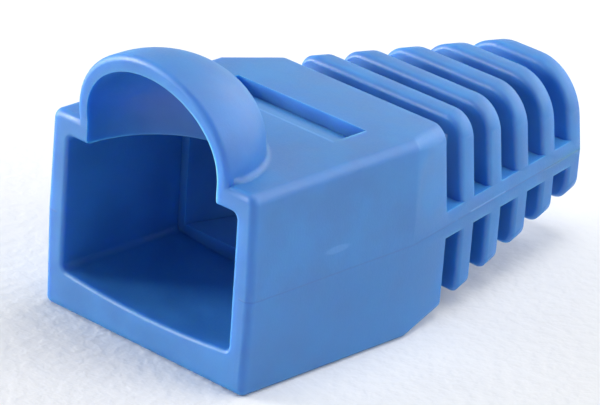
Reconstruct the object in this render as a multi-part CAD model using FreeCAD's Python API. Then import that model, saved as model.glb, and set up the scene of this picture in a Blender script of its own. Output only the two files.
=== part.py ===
import FreeCAD, Part
import math
import os

# Strain relief boot for an eight-way modular plug: one soft moulding that is open from the plug
# socket at the front to the cable bore at the back.
# Frame: X across the plug, Y from the mouth towards the cable, Z up, in millimetres. The model is
# built from the mouth plane (Y = 0) and the underside (Z = 0), then moved so that its origin is
# the middle of its footprint.

Vec = FreeCAD.Vector

# Plug socket
plug_width = 11.68
plug_gap = 0.06
socket_height = 7.23
socket_depth = 8.0
socket_corner_radius = 0.35
floor_bow = 0.3
lead_in_radius = 0.22

# Body around the socket
side_wall = 1.26
floor_wall = 1.8
roof_wall = 1.2
body_length = 11.3
parting_height = 5.08
mouth_top_inset = 0.12
mouth_bottom_inset = 0.15
body_top_radius = 0.55
body_bottom_radius = 0.35
mouth_edge_radius = 0.4

# Tail round the cable
tail_length = 16.2
tail_end_half_width = 4.0
tail_end_top = 9.45
tail_end_bottom = 2.48
tail_shoulder_drop = 0.36
tail_shoulder_rise = 0.5
tail_top_inset = 0.6
tail_bottom_inset = 0.05
tail_shoulder_radius = 1.0
tail_end_top_radius = 3.0
tail_end_bottom_radius = 1.1

# Way in for the cable: a ledge that stops the plug, a hollow tail that narrows, and the bore
plug_stop = 0.5
tail_wall = 1.0
cone_radius = 3.5
bore_radius = 2.9
bore_height = 5.95
bore_length = 2.6

# Flex slots, the ribs between them and the web that joins the ribs
slot_count = 5
slot_start = 3.38
slot_pitch = 2.57
slot_width = 1.14
web_height = 1.4
rib_chamfer = 0.3

# Latch hood over the mouth
hood_half_width = 5.24
hood_depth = 5.62
hood_rise = 4.44
hood_spring_height = 0.4
hood_wall = 0.72
hood_crown_wall = 0.86
hood_lean = 8.3
cavity_foot_depth = 5.0
hood_root_radius = 0.35
hood_rim_radius = 0.32

# Relief pocket behind the hood
pocket_half_width = 4.46
pocket_start = 8.0
pocket_end = 10.25
pocket_depth = 0.76

# Sizes that follow from the ones above
socket_half_width = plug_width / 2 + plug_gap
body_half_width = socket_half_width + side_wall
socket_floor = floor_wall + floor_bow
socket_roof = socket_floor + socket_height
body_height = socket_roof + roof_wall
total_length = body_length + tail_length
spring_height = body_height + hood_spring_height
hood_barrel = hood_depth - hood_half_width

# How far cutting tools reach past the part, and how closely two positions count as the same
overlap = 1.0
slack = 0.001


def corner_arc(before, corner, after, radius):
    """Arc of the given radius that rounds one corner of an outline."""
    to_before = (before - corner).normalize()
    to_after = (after - corner).normalize()
    half_angle = to_before.getAngle(to_after) / 2
    setback = radius / math.tan(half_angle)
    middle = (to_before + to_after).normalize()
    centre = corner + middle * (radius / math.sin(half_angle))
    return Part.Arc(corner + to_before * setback, centre - middle * radius,
                    corner + to_after * setback).toShape()


def rounded_edges(corners, radii):
    """Edges of a closed outline, each corner rounded by its radius (0 keeps it sharp)."""
    count = len(corners)
    pieces = []
    for i in range(count):
        if radii[i] > 0:
            pieces.append(corner_arc(corners[i - 1], corners[i], corners[(i + 1) % count], radii[i]))
        else:
            pieces.append(Part.Vertex(corners[i]))
    edges = []
    for i in range(count):
        following = pieces[(i + 1) % count]
        if radii[i] > 0:
            edges.append(pieces[i])
        edges.append(Part.makeLine(pieces[i].Vertexes[-1].Point, following.Vertexes[0].Point))
    return edges


def body_section(y, half_width, top, bottom, top_inset, bottom_inset, top_radius, bottom_radius):
    """Outline of the outside at one station: widest at the parting line, drafted up and down."""
    corners = [
        Vec(-half_width + bottom_inset, y, bottom),
        Vec(half_width - bottom_inset, y, bottom),
        Vec(half_width, y, parting_height),
        Vec(half_width - top_inset, y, top),
        Vec(-half_width + top_inset, y, top),
        Vec(-half_width, y, parting_height),
    ]
    radii = [bottom_radius, bottom_radius, 0, top_radius, top_radius, 0]
    return Part.Wire(rounded_edges(corners, radii))


def drafted(front, back):
    """Solid between two outlines, with its flat sides as true planes."""
    loft = Part.makeLoft([front, back], True, True)
    shell = Part.makeShell([flattened(face) for face in loft.Faces])
    shell.sewShape()
    return Part.makeSolid(shell)


def flattened(face):
    """The face itself, or a true plane in its place if it is flat."""
    plane = face.findPlane(slack / 100)
    if plane is None:
        return face
    return Part.Face(plane, face.OuterWire)


def between(start, end, share):
    """Value part of the way from start to end."""
    return start + (end - start) * share


def make_body():
    """Drafted box round the plug, from the mouth to where the tail begins."""
    mouth = body_section(0, body_half_width, body_height, 0, mouth_top_inset,
                         mouth_bottom_inset, body_top_radius, body_bottom_radius)
    shoulder = tail_section(0)
    return drafted(mouth, shoulder)


def tail_section(distance, trim=0):
    """Outline of the tail at a distance behind the body, drawn in by a trim all round."""
    share = distance / tail_length
    if distance < slot_start:
        near = distance / slot_start
        top = body_height - tail_shoulder_drop * near
        bottom = tail_shoulder_rise * near
        top_inset = between(mouth_top_inset, tail_top_inset, near)
        top_radius = between(body_top_radius, tail_shoulder_radius, near)
    else:
        far = (distance - slot_start) / (tail_length - slot_start)
        top = between(body_height - tail_shoulder_drop, tail_end_top, far)
        bottom = between(tail_shoulder_rise, tail_end_bottom, far)
        top_inset = tail_top_inset
        top_radius = between(tail_shoulder_radius, tail_end_top_radius, far)
    return body_section(body_length + distance,
                        between(body_half_width, tail_end_half_width, share) - trim,
                        top - trim,
                        bottom + trim,
                        top_inset,
                        tail_bottom_inset,
                        top_radius - trim,
                        between(body_bottom_radius, tail_end_bottom_radius, share) - trim)


def make_tail():
    """Tail that narrows to the cable: a collar, then ribs that a web joins along each side."""
    collar_end = tail_section(slot_start)
    whole = drafted(tail_section(0), collar_end).fuse(drafted(collar_end, tail_section(tail_length)))
    half_width = body_half_width + overlap
    collar_length = slot_start - rib_chamfer
    band = Part.makeBox(2 * half_width, tail_length, web_height,
                        Vec(-half_width, body_length + collar_length,
                            parting_height - web_height / 2))
    ribs = [drafted(tail_section(0), tail_section(collar_length))]
    ribs += rib_bevel(slot_start, -1)
    for i in range(slot_count):
        start = slot_start + i * slot_pitch + slot_width
        end = min(slot_start + (i + 1) * slot_pitch, tail_length)
        ribs += rib_bevel(start, 1) + rib_bevel(end, -1)
        ribs.append(drafted(tail_section(start + rib_chamfer), tail_section(end - rib_chamfer)))
    return whole.common(band).fuse(ribs)


def rib_bevel(distance, inwards):
    """Bevelled edge of a rib whose end face is at a distance; inwards is 1 towards the cable."""
    face = tail_section(distance, rib_chamfer)
    full = tail_section(distance + inwards * rib_chamfer)
    if inwards > 0:
        return [drafted(face, full)]
    return [drafted(full, face)]


def make_bubble(half_width, rise, foot, foot_depth):
    """Round-backed hood form, open at the front: a barrel, a quarter dome and upright walls."""
    back = Vec(0, hood_barrel, spring_height)
    crown = back + Vec(0, 0, rise)
    right = back + Vec(half_width, 0, 0)
    quarter = Part.ArcOfEllipse(Part.Ellipse(right, crown, back), 0, math.pi / 2).toShape()
    rib = Part.Face(Part.Wire([quarter, Part.makeLine(crown, back), Part.makeLine(back, right)]))
    dome = rib.revolve(back, Vec(0, 0, 1), 180)
    ahead = Vec(0, -hood_barrel - hood_depth, 0)
    barrel = rib.extrude(ahead)
    mirrored = barrel.mirror(Vec(0, 0, 0), Vec(1, 0, 0))
    walls = Part.makeLoft([hood_plan(half_width, foot_depth, foot),
                           hood_plan(half_width, half_width, spring_height)], True, True)
    return barrel.fuse([mirrored, dome, walls]).removeSplitter()


def hood_plan(half_width, depth, z):
    """Plan of the hood at one height: straight sides and a rounded back of the given depth."""
    right = Vec(half_width, hood_barrel, z)
    left = Vec(-half_width, hood_barrel, z)
    ahead_right = Vec(half_width, -hood_depth, z)
    ahead_left = Vec(-half_width, -hood_depth, z)
    centre = Vec(0, hood_barrel, z)
    tip = centre + Vec(0, depth, 0)
    if depth > half_width:
        back = Part.ArcOfEllipse(Part.Ellipse(tip, left, centre), -math.pi / 2, math.pi / 2)
    else:
        back = Part.Arc(right, tip, left)
    return Part.Wire([back.toShape(), Part.makeLine(left, ahead_left),
                      Part.makeLine(ahead_left, ahead_right), Part.makeLine(ahead_right, right)])


def side_prism(points, half_width):
    """Solid of one side-view outline, given as (Y, Z) points, equally far to both sides."""
    corners = [Vec(-half_width, y, z) for y, z in points]
    return Part.Face(Part.makePolygon(corners + corners[:1])).extrude(Vec(2 * half_width, 0, 0))


def front_trim():
    """Everything in front of the mouth plane and of the hood's rim, which leans forward."""
    top = spring_height + hood_rise + overlap
    lean = (top - body_height) * math.tan(math.radians(hood_lean))
    front = -hood_depth - overlap
    outline = [(front, -overlap), (0, -overlap), (0, body_height), (-lean, top), (front, top)]
    return side_prism(outline, body_half_width + overlap)


def make_pocket():
    """Relief pocket in the roof: a ramp down to an upright wall at its back."""
    top = body_height + overlap
    floor = body_height - pocket_depth
    outline = [(pocket_start, body_height), (pocket_end, floor), (pocket_end, top), (pocket_start, top)]
    return side_prism(outline, pocket_half_width)


def plug_outline(y, margin):
    """Inside outline of the plug socket at one station, grown by a margin; its floor bows down."""
    half_width = socket_half_width + margin
    floor = socket_floor - margin
    roof = socket_roof + margin
    corners = [Vec(half_width, y, floor), Vec(half_width, y, roof),
               Vec(-half_width, y, roof), Vec(-half_width, y, floor)]
    sides = rounded_edges(corners, [socket_corner_radius + margin] * len(corners))[:-1]
    bow = Part.Arc(sides[-1].Vertexes[-1].Point, Vec(0, y, floor - floor_bow),
                   sides[0].Vertexes[0].Point).toShape()
    return Part.Wire(sides + [bow])


def make_lead_in():
    """Softened edge round the socket's mouth: its curve in two flat steps."""
    middle = lead_in_radius * (1 - math.sqrt(0.5))
    ahead = plug_outline(-overlap, lead_in_radius)
    edge = plug_outline(0, lead_in_radius)
    knee = plug_outline(middle, middle)
    end = plug_outline(lead_in_radius, 0)
    return [Part.makeLoft([ahead, edge], True, True),
            Part.makeLoft([edge, knee], True, True),
            Part.makeLoft([knee, end], True, True)]


def make_socket():
    """Space for the plug, and beyond its stop the hollow tail and the bore for the cable."""
    box = Part.Face(plug_outline(0, 0)).extrude(Vec(0, socket_depth, 0))
    stop = core_outline(socket_depth, socket_half_width - plug_stop, socket_floor + plug_stop,
                        socket_roof - plug_stop)
    share = slot_start / tail_length
    neck_half_width = between(body_half_width, tail_end_half_width, share) - tail_top_inset / 2
    neck = core_outline(body_length + slot_start, neck_half_width - tail_wall,
                        tail_shoulder_rise + tail_wall + floor_bow,
                        body_height - tail_shoulder_drop - tail_wall)
    bore_start = total_length - bore_length
    reach = bore_radius * math.sqrt(0.5)
    end = core_outline(bore_start, reach, bore_height - reach, bore_height + reach)
    cone_length = bore_start - body_length
    cone = Part.makeCone(cone_radius, bore_radius, cone_length, Vec(0, body_length, bore_height),
                         Vec(0, 1, 0))
    bore = Part.makeCylinder(bore_radius, bore_length + overlap, Vec(0, bore_start, bore_height),
                             Vec(0, 1, 0))
    return box.fuse(make_lead_in() + [drafted(stop, neck), drafted(neck, end), cone, bore])


def core_outline(y, half_width, floor, roof):
    """Square-cornered inside outline of the hollow tail at one station."""
    corners = [Vec(-half_width, y, floor), Vec(half_width, y, floor),
               Vec(half_width, y, roof), Vec(-half_width, y, roof)]
    return Part.makePolygon(corners + corners[:1])


def make_outside():
    """Body and tail as one, rounded at the mouth."""
    outside = make_body().fuse(make_tail()).removeSplitter()
    return outside.makeFillet(mouth_edge_radius, edges_across(outside, 0))


def edges_across(shape, y):
    """Edges that lie wholly in the upright plane at Y = y."""
    return [edge for edge in shape.Edges
            if abs(edge.BoundBox.YMin - y) < slack and abs(edge.BoundBox.YMax - y) < slack]


def make_hood():
    """Outside of the hood, cut back to its leaning rim and softened along it."""
    hood = outer_bubble().cut(front_trim())
    rim = [edge for edge in hood.Edges
           if edge.BoundBox.YMax < slack and edge.BoundBox.ZLength > slack]
    return hood.makeFillet(hood_rim_radius, rim)


def outer_bubble():
    """Outside of the hood before its rim is cut."""
    return make_bubble(hood_half_width, hood_rise, socket_roof, hood_half_width)


def root_blend():
    """Soft blend where the hood grows out of the roof, behind the rounded mouth edge."""
    joined = make_body().fuse(outer_bubble())
    root = [edge for edge in joined.Edges
            if abs(edge.BoundBox.ZMin - body_height) < slack
            and abs(edge.BoundBox.ZMax - body_height) < slack
            and slack < edge.BoundBox.YMax < hood_depth + slack
            and max(-edge.BoundBox.XMin, edge.BoundBox.XMax) < hood_half_width + slack]
    reach = hood_half_width + overlap
    keep = Part.makeBox(2 * reach, hood_depth + overlap, hood_root_radius,
                        Vec(-reach, mouth_edge_radius, body_height))
    return joined.makeFillet(hood_root_radius, root).common(keep)


def make_cavity():
    """Space under the hood, which runs down into the plug socket."""
    return make_bubble(hood_half_width - hood_wall, hood_rise - hood_crown_wall, socket_roof,
                       cavity_foot_depth)


shape = make_outside().fuse([make_hood(), root_blend()])
shape = shape.cut([make_pocket(), make_cavity(), make_socket()])
bounds = shape.optimalBoundingBox(False, False)
shape.translate(Vec(0, -(bounds.YMin + bounds.YMax) / 2, 0))
os.makedirs("parts", exist_ok=True)
shape.exportStep("parts/boot.step")
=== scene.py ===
from math import copysign, cos, radians, sin

import bmesh
import bpy
from mathutils import Matrix, Vector


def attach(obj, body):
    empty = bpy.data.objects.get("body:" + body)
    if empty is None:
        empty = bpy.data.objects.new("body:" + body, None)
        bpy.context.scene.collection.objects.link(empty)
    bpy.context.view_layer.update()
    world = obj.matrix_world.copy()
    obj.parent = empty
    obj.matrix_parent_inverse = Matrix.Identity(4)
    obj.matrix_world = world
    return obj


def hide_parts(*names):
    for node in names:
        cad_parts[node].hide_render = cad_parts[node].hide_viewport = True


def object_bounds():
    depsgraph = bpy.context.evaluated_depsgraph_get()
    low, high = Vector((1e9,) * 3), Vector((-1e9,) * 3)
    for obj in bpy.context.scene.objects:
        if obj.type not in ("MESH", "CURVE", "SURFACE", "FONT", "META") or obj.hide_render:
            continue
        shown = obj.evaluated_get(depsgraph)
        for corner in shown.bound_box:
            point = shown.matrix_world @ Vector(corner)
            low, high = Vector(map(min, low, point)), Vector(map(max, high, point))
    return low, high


# Soft blue strain relief boot on white paper, in metres: X across the plug, Y towards the cable, Z up.

MM = 0.001

# Skin: what counts as one point, as one flat side and as an edge that is shaded round.
WELD_DISTANCE = 0.002 * MM
FLAT_ANGLE = radians(0.3)
SOFT_ANGLE = radians(62)
NEEDLE_PASSES = 4

# Boot: the sizes that the skin and its marks are fitted to.
ROOF_HEIGHT = 10.53 * MM
HOOD_HALF_WIDTH = 5.24 * MM
BLEND_RADIUS = 0.35 * MM
BLEND_FRONT = -13.022 * MM
PARTING_HEIGHT = 5.08 * MM
SOCKET_REACH = 6.4 * MM
SOCKET_END = 2 * MM
CORE_REACH = 3.75 * MM
RIB_BEVEL = 0.3 * MM
WEB_REACH = 0.75 * MM

# Marks of the mould, the painted shade on the lower sides and the painted highlights: their places,
# sizes and soft edges.
REACH_FADE = 0.1 * MM
LINE_HALF_WIDTH = 0.02 * MM
LINE_FADE = 0.05 * MM
LOWER_FADE = 0.3 * MM
GATE_PLACE = Vector((7.14, -7.55, 6.33)) * MM
GATE_SIZE = Vector((1.5, 1.05, 0.24)) * MM
GATE_CORE = 0.55
FLASH_START = 3.3 * MM
FLASH_END = 6.3 * MM
FLASH_FADE = 0.3 * MM
NEAR_SIDE = 1 * MM
LIP_START = -5.45 * MM
LIP_END = -5.35 * MM
LIP_REACH = 4.4 * MM
LIP_FADE = 0.08 * MM
LIP_END_FADE = 0.2 * MM
LIP_WAVE = 0.12 * MM
LIP_DEPTH = 0.13 * MM
LIP_DEPTH_FADE = 0.05 * MM

# Vinyl: how far each mark, the painted shade and the painted highlights shift the colour, lift the
# surface or polish it.
LOWER_SHADE_SHARE = 0.35
LINE_SHARE = 0.5
GATE_SHARE = 0.35
HIGHLIGHT_SHARE = 0.45
LINE_RISE = 0.8
GATE_RISE = 0.8
FLASH_RISE = 1.5
LIP_RISE = 1
BROAD_RELIEF = 0.012 * MM
FINE_RELIEF = 0.002 * MM
SMOOTHEST = 0.46
ROUGHEST = 0.54
GRAIN_ROUGHNESS = 0.06
GATE_ROUGHNESS = -0.08
BLEED_DEPTH = 1.5 * MM

# Noise: the part of its range that the clouds and the grain spread out to 0 and 1.
NOISE_LOW = 0.3
NOISE_HIGH = 0.7

PAPER_RELIEF = 0.02 * MM
FLOOR_SIZE = 4

# The deep blue is also the painted shade on the lower sides; the mark blue is both the gate mark's own
# tone and the painted highlight on the flash and the ramp's lip.
BLUE_DEEP = (0.022, 0.185, 0.50, 1)
BLUE_PALE = (0.028, 0.222, 0.57, 1)
LINE_BLUE = (0.015, 0.13, 0.42, 1)
GATE_AND_HIGHLIGHT_BLUE = (0.10, 0.32, 0.70, 1)
PAPER_GREY = (0.85, 0.855, 0.87, 1)
PAPER_WHITE = (0.90, 0.905, 0.915, 1)
ROOM_WHITE = (0.97, 0.98, 1.0, 1)

# Room: its strength at the horizon and overhead, and how far up it reaches full strength.
ROOM_LEVEL = 0.06
SKY_LEVEL = 0.4
SKY_HEIGHT = 0.8

# Soft boxes: name, place, width in metres and power in watts.
LAMP_AIM = Vector((0, 0, 5)) * MM
LAMPS = (
    ("top", (0.02, 0.02, 0.42), 0.2, 0.55),
    ("back", (0.06, 0.36, 0.20), 0.36, 0.85),
    ("right", (0.28, 0.12, 0.22), 0.2, 0.48),
    ("left", (-0.33, -0.22, 0.07), 0.16, 2.1),
)

CAMERA_AZIMUTH = radians(43.18)
CAMERA_ELEVATION = radians(23.59)
CAMERA_ROLL = radians(3.96)
CAMERA_DISTANCE = 232.8 * MM
CAMERA_TARGET = Vector((-0.608, -2.135, 4.628)) * MM
CAMERA_LENS = 278.3
CAMERA_NEAR = 10 * MM
CAMERA_FAR = 20


# The moulded skin

def make_skin(node):
    """Moulded skin: a copy of the CAD form with its bevels shaded round and its flat sides flat."""
    skin = node.copy()
    skin.data = node.data.copy()
    skin.name = "boot_skin"
    bpy.context.scene.collection.objects.link(skin)
    skin.parent = None
    for key in list(skin.keys()):
        del skin[key]
    weld(skin)
    skin.data.shade_smooth()
    normals = skin.modifiers.new("flat sides", "WEIGHTED_NORMAL")
    normals.keep_sharp = True
    return skin


def weld(piece):
    """Joins the loose triangles of a copied mesh, clears its flat sides and marks its sharp edges."""
    form = bmesh.new()
    form.from_mesh(piece.data)
    bmesh.ops.remove_doubles(form, verts=form.verts, dist=WELD_DISTANCE)
    fade_root_blend(form)
    turn_needles(form)
    bmesh.ops.dissolve_degenerate(form, dist=2 * WELD_DISTANCE, edges=form.edges)
    round_web_ends(form)
    bmesh.ops.dissolve_limit(form, angle_limit=FLAT_ANGLE, verts=form.verts, edges=form.edges)
    for edge in form.edges:
        edge.smooth = edge.calc_face_angle(0) < SOFT_ANGLE
    form.to_mesh(piece.data)
    form.free()


def fade_root_blend(form):
    """Draws the front end of the blend at the hood's root to a point, on each side."""
    ends = [vertex for vertex in form.verts
            if abs(vertex.co.y - BLEND_FRONT) < WELD_DISTANCE
            and on_blend(vertex.co.z, ROOF_HEIGHT)
            and on_blend(abs(vertex.co.x), HOOD_HALF_WIDTH)]
    for vertex in ends:
        vertex.co = (copysign(HOOD_HALF_WIDTH, vertex.co.x), BLEND_FRONT, ROOF_HEIGHT)
    bmesh.ops.remove_doubles(form, verts=ends, dist=WELD_DISTANCE)


def on_blend(value, root):
    """Whether a height or a reach lies within the blend that grows from its root."""
    return root - WELD_DISTANCE < value < root + BLEND_RADIUS + WELD_DISTANCE


def turn_needles(form):
    """Turns the long edge of each needle-thin triangle, so that its middle corner joins both sides."""
    for _ in range(NEEDLE_PASSES):
        for face in list(form.faces):
            if not face.is_valid or not is_needle(face):
                continue
            longest = longest_edge(face)
            if not any(is_needle(other) for other in longest.link_faces if other is not face):
                bmesh.utils.edge_rotate(longest, True)


def is_needle(face):
    """Whether a face is no wider than the welding distance."""
    return face.calc_area() < longest_edge(face).calc_length() * WELD_DISTANCE


def longest_edge(face):
    """The longest of a face's edges."""
    return max(face.edges, key=lambda edge: edge.calc_length())


def round_web_ends(form):
    """Draws in the web's last corners by the ribs' bevel, so that the tail's end is even."""
    end = max(vertex.co.y for vertex in form.verts)
    bmesh.ops.bisect_plane(form, geom=form.verts[:] + form.edges[:] + form.faces[:],
                           dist=WELD_DISTANCE, plane_co=(0, end - RIB_BEVEL, 0), plane_no=(0, 1, 0))
    for vertex in form.verts:
        place = vertex.co
        on_web = abs(place.z - PARTING_HEIGHT) < WEB_REACH and abs(place.x) > CORE_REACH
        if on_web and place.y > end - WELD_DISTANCE:
            place.x -= copysign(RIB_BEVEL, place.x)


# Nodes

def feed(tree, sockets, values):
    """Gives each socket its value: a link from another node's output, or a fixed one."""
    for socket, value in zip(sockets, values):
        if isinstance(value, bpy.types.NodeSocket):
            tree.links.new(value, socket)
        else:
            socket.default_value = value


def maths(tree, operation, *values):
    """Math node over sockets or numbers; returns its output."""
    node = tree.nodes.new("ShaderNodeMath")
    node.operation = operation
    feed(tree, node.inputs, values)
    return node.outputs["Value"]


def vector_maths(tree, operation, *values):
    """Vector Math node over sockets or vectors; returns its output."""
    node = tree.nodes.new("ShaderNodeVectorMath")
    node.operation = operation
    feed(tree, node.inputs, values)
    return node.outputs["Value" if operation == "LENGTH" else "Vector"]


def ranged(tree, value, low, high, to_low, to_high):
    """Smooth step of a value from one range to another."""
    node = tree.nodes.new("ShaderNodeMapRange")
    node.interpolation_type = "SMOOTHSTEP"
    names = ("Value", "From Min", "From Max", "To Min", "To Max")
    feed(tree, [node.inputs[name] for name in names], (value, low, high, to_low, to_high))
    return node.outputs["Result"]


def within(tree, value, start, end, edge):
    """Mask that is 1 between two values and fades out over the edge at both."""
    rise = ranged(tree, value, start - edge, start, 0, 1)
    fall = ranged(tree, value, end, end + edge, 1, 0)
    return maths(tree, "MULTIPLY", rise, fall)


def mixed(tree, factor, first, second):
    """Colour part of the way from first to second."""
    node = tree.nodes.new("ShaderNodeMix")
    node.data_type = "RGBA"
    colours = [socket for socket in node.inputs if socket.type == "RGBA"]
    feed(tree, (node.inputs["Factor"], *colours), (factor, first, second))
    return next(socket for socket in node.outputs if socket.type == "RGBA")


def bump(tree, height, distance):
    """Bump node over a height from 0 up; returns the node."""
    node = tree.nodes.new("ShaderNodeBump")
    node.inputs["Distance"].default_value = distance
    tree.links.new(height, node.inputs["Height"])
    return node


def coordinates(tree, name):
    """One set of coordinates, whole and split into X, Y and Z."""
    place = tree.nodes.new("ShaderNodeTexCoord").outputs[name]
    apart = tree.nodes.new("ShaderNodeSeparateXYZ")
    tree.links.new(place, apart.inputs["Vector"])
    return place, *apart.outputs


def cloud_and_grain():
    """Group with broad soft clouds and fine grain over Object coordinates, both from 0 to 1."""
    group = bpy.data.node_groups.new("clouds and grain", "ShaderNodeTree")
    given = group.nodes.new("NodeGroupInput")
    result = group.nodes.new("NodeGroupOutput")
    place = group.nodes.new("ShaderNodeTexCoord").outputs["Object"]
    for kind, detail in (("Cloud", 3), ("Grain", 2)):
        group.interface.new_socket(kind + " Scale", in_out="INPUT", socket_type="NodeSocketFloat")
        group.interface.new_socket(kind, in_out="OUTPUT", socket_type="NodeSocketFloat")
        noise = group.nodes.new("ShaderNodeTexNoise")
        noise.inputs["Detail"].default_value = detail
        group.links.new(place, noise.inputs["Vector"])
        group.links.new(given.outputs[kind + " Scale"], noise.inputs["Scale"])
        spread = ranged(group, noise.outputs["Fac"], NOISE_LOW, NOISE_HIGH, 0, 1)
        group.links.new(spread, result.inputs[kind])
    return group


def add_group(tree, group, values):
    """The group as a node, with its inputs set by name."""
    node = tree.nodes.new("ShaderNodeGroup")
    node.node_tree = group
    for name, value in values.items():
        node.inputs[name].default_value = value
    return node


def new_material(name):
    """Fresh material with its shader and its node tree."""
    material = bpy.data.materials.new(name)
    material.use_nodes = True
    return material, material.node_tree.nodes["Principled BSDF"], material.node_tree


# Marks that the mould leaves, painted shade and painted highlights, as masks from 0 to 1

def outer_sides(tree, across, along):
    """The outer sides, without the socket, the mouth's rim and the tail's core."""
    inner_reach = ranged(tree, along, SOCKET_END, SOCKET_END + REACH_FADE, SOCKET_REACH, CORE_REACH)
    return maths(tree, "GREATER_THAN", maths(tree, "ABSOLUTE", across), inner_reach)


def parting_line(tree, height, outside):
    """Fine line round the sides where the halves of the mould met."""
    off_line = maths(tree, "ABSOLUTE", maths(tree, "SUBTRACT", height, PARTING_HEIGHT))
    line = ranged(tree, off_line, LINE_HALF_WIDTH, LINE_HALF_WIDTH + LINE_FADE, 1, 0)
    return maths(tree, "MULTIPLY", line, outside)


def shaded_lower_sides(tree, height, outside):
    """The sides below the parting line, which get painted shade: a deeper blue."""
    below = ranged(tree, height, PARTING_HEIGHT - LOWER_FADE, PARTING_HEIGHT, 1, 0)
    return maths(tree, "MULTIPLY", outside, below)


def gate_mark(tree, place):
    """Flat oval on the side where the vinyl flowed in."""
    from_middle = vector_maths(tree, "SUBTRACT", place, GATE_PLACE)
    reach = vector_maths(tree, "LENGTH", vector_maths(tree, "DIVIDE", from_middle, GATE_SIZE))
    return ranged(tree, reach, GATE_CORE, 1, 1, 0)


def flash_streak_and_highlight(tree, line, across, along):
    """Short streak of flash on the parting line of the near side's web: raised by the bump and
    lightened as a painted highlight.
    """
    stretch = within(tree, along, FLASH_START, FLASH_END, FLASH_FADE)
    near = ranged(tree, across, 0, NEAR_SIDE, 0, 1)
    return maths(tree, "MULTIPLY", maths(tree, "MULTIPLY", line, stretch), near)


def ramp_lip_and_highlight(tree, across, along, height, clouds):
    """Soft wavy lip across the roof where the ramp into the pocket starts: a bump and a painted
    highlight.
    """
    wavy = maths(tree, "MULTIPLY_ADD", clouds, LIP_WAVE, along)
    band = within(tree, wavy, LIP_START, LIP_END, LIP_FADE)
    lowest = ROOF_HEIGHT - LIP_DEPTH
    on_roof = ranged(tree, height, lowest, lowest + LIP_DEPTH_FADE, 0, 1)
    between = within(tree, across, -LIP_REACH, LIP_REACH, LIP_END_FADE)
    return maths(tree, "MULTIPLY", band, maths(tree, "MULTIPLY", on_roof, between))


# Materials

def soft_vinyl(grain_kit):
    """Soft blue vinyl: cloudy colour, spark-eroded grain, the marks of the mould, painted shade on the
    lower sides and painted highlights on the flash and the ramp's lip.
    """
    material, shader, tree = new_material("soft blue vinyl")
    shader.inputs["Subsurface Weight"].default_value = 1.0
    shader.inputs["Subsurface Radius"].default_value = (0.3, 0.6, 1.0)
    shader.inputs["Subsurface Scale"].default_value = BLEED_DEPTH
    shader.inputs["Specular IOR Level"].default_value = 0.8
    kit = add_group(tree, grain_kit, {"Cloud Scale": 380, "Grain Scale": 9000})
    clouds, grain = kit.outputs["Cloud"], kit.outputs["Grain"]

    place, across, along, height = coordinates(tree, "Object")
    outside = outer_sides(tree, across, along)
    line = parting_line(tree, height, outside)
    lower_shade = shaded_lower_sides(tree, height, outside)
    gate = gate_mark(tree, place)
    flash_and_highlight = flash_streak_and_highlight(tree, line, across, along)
    lip_and_highlight = ramp_lip_and_highlight(tree, across, along, height, clouds)
    painted_highlight = maths(tree, "MAXIMUM", flash_and_highlight, lip_and_highlight)

    colour = mixed(tree, clouds, BLUE_DEEP, BLUE_PALE)
    # Painted shade darkens the lower sides with the deep blue; a painted highlight lightens the flash
    # and the ramp's lip.
    for mask, share, tone in ((lower_shade, LOWER_SHADE_SHARE, BLUE_DEEP), (line, LINE_SHARE, LINE_BLUE),
                              (gate, GATE_SHARE, GATE_AND_HIGHLIGHT_BLUE), (painted_highlight, HIGHLIGHT_SHARE, GATE_AND_HIGHLIGHT_BLUE)):
        colour = mixed(tree, maths(tree, "MULTIPLY", mask, share), colour, tone)
    tree.links.new(colour, shader.inputs["Base Color"])

    roughness = ranged(tree, clouds, 0, 1, SMOOTHEST, ROUGHEST)
    for mask, change in ((grain, GRAIN_ROUGHNESS), (gate, GATE_ROUGHNESS)):
        roughness = maths(tree, "MULTIPLY_ADD", mask, change, roughness)
    tree.links.new(roughness, shader.inputs["Roughness"])

    relief = clouds
    for mask, rise in ((line, LINE_RISE), (gate, GATE_RISE), (flash_and_highlight, FLASH_RISE), (lip_and_highlight, LIP_RISE)):
        relief = maths(tree, "MULTIPLY_ADD", mask, rise, relief)
    fine, broad = bump(tree, grain, FINE_RELIEF), bump(tree, relief, BROAD_RELIEF)
    tree.links.new(fine.outputs["Normal"], broad.inputs["Normal"])
    tree.links.new(broad.outputs["Normal"], shader.inputs["Normal"])
    return material


def paper(grain_kit):
    """Matt white paper with a faint cloudy tone and a fine grain."""
    material, shader, tree = new_material("white paper")
    shader.inputs["Roughness"].default_value = 0.9
    shader.inputs["Specular IOR Level"].default_value = 0.1
    kit = add_group(tree, grain_kit, {"Cloud Scale": 70, "Grain Scale": 1500})
    colour = mixed(tree, kit.outputs["Cloud"], PAPER_GREY, PAPER_WHITE)
    tree.links.new(colour, shader.inputs["Base Color"])
    grain = bump(tree, kit.outputs["Grain"], PAPER_RELIEF)
    tree.links.new(grain.outputs["Normal"], shader.inputs["Normal"])
    return material


# The room, the lamps and the camera

def make_floor(height, grain_kit):
    """Wide sheet of paper under the boot."""
    bpy.ops.mesh.primitive_plane_add(size=FLOOR_SIZE, location=(0, 0, height))
    floor = bpy.context.active_object
    floor.name = "floor"
    floor.data.materials.append(paper(grain_kit))


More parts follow.
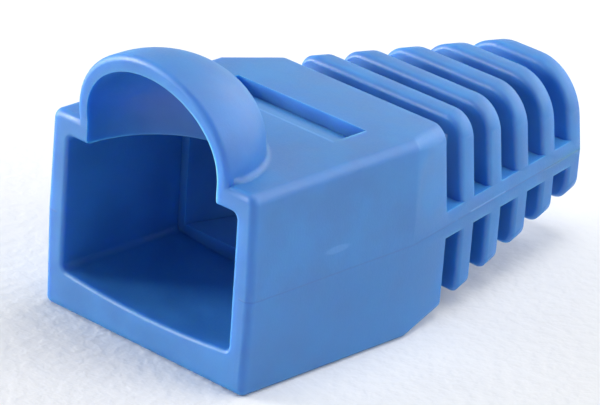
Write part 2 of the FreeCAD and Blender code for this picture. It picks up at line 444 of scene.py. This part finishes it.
def make_world():
    """Room that lights the boot more from overhead, and that the camera and the gloss see as white."""
    world = bpy.data.worlds.new("white room")
    bpy.context.scene.world = world
    world.use_nodes = True
    tree = world.node_tree
    surroundings = tree.nodes["Background"]
    surroundings.inputs["Color"].default_value = ROOM_WHITE
    path = tree.nodes.new("ShaderNodeLightPath")
    seen = maths(tree, "MAXIMUM", path.outputs["Is Camera Ray"], path.outputs["Is Glossy Ray"])
    upward = coordinates(tree, "Generated")[-1]
    sky = ranged(tree, upward, 0, SKY_HEIGHT, ROOM_LEVEL, SKY_LEVEL)
    missing = maths(tree, "SUBTRACT", 1, sky)
    shown = maths(tree, "MULTIPLY_ADD", missing, seen, sky)
    tree.links.new(shown, surroundings.inputs["Strength"])


def make_lights():
    """Square soft boxes, all aimed at the boot: the strongest is low to the left."""
    for name, place, width, power in LAMPS:
        data = bpy.data.lights.new(name, "AREA")
        data.shape = "SQUARE"
        data.size = width
        data.energy = power
        lamp = bpy.data.objects.new(name, data)
        bpy.context.scene.collection.objects.link(lamp)
        lamp.location = place
        lamp.rotation_euler = (LAMP_AIM - lamp.location).to_track_quat("-Z", "Y").to_euler()


def look_from(azimuth, elevation, roll, distance, target):
    """Camera placement: azimuth 0 looks along +Y, then turns towards -X."""
    back = Vector((sin(azimuth) * cos(elevation), -cos(azimuth) * cos(elevation), sin(elevation)))
    right = Vector((cos(azimuth), sin(azimuth), 0))
    up = back.cross(right)
    turn = Matrix.Rotation(roll, 3, back)
    placement = Matrix((turn @ right, turn @ up, back)).transposed().to_4x4()
    placement.translation = target + back * distance
    return placement


def make_camera():
    """Long lens from the front right, a little above."""
    data = bpy.data.cameras.new("camera")
    data.lens = CAMERA_LENS
    data.clip_start = CAMERA_NEAR
    data.clip_end = CAMERA_FAR
    camera = bpy.data.objects.new("camera", data)
    bpy.context.scene.collection.objects.link(camera)
    camera.matrix_world = look_from(CAMERA_AZIMUTH, CAMERA_ELEVATION, CAMERA_ROLL, CAMERA_DISTANCE,
                                    CAMERA_TARGET)
    bpy.context.scene.camera = camera


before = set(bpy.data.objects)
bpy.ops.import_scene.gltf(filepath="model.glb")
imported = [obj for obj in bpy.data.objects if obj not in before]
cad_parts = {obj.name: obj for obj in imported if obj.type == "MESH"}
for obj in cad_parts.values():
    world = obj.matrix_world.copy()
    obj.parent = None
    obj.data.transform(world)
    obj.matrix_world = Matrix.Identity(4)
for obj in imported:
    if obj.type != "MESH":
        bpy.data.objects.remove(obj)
cad_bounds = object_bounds()
grain_kit = cloud_and_grain()
skin = make_skin(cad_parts["boot"])
skin.data.materials.clear()
skin.data.materials.append(soft_vinyl(grain_kit))
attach(skin, "root")
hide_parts("boot")
make_floor(cad_bounds[0].z, grain_kit)
make_world()
make_lights()
make_camera()
bpy.context.scene.view_settings.view_transform = "Standard"
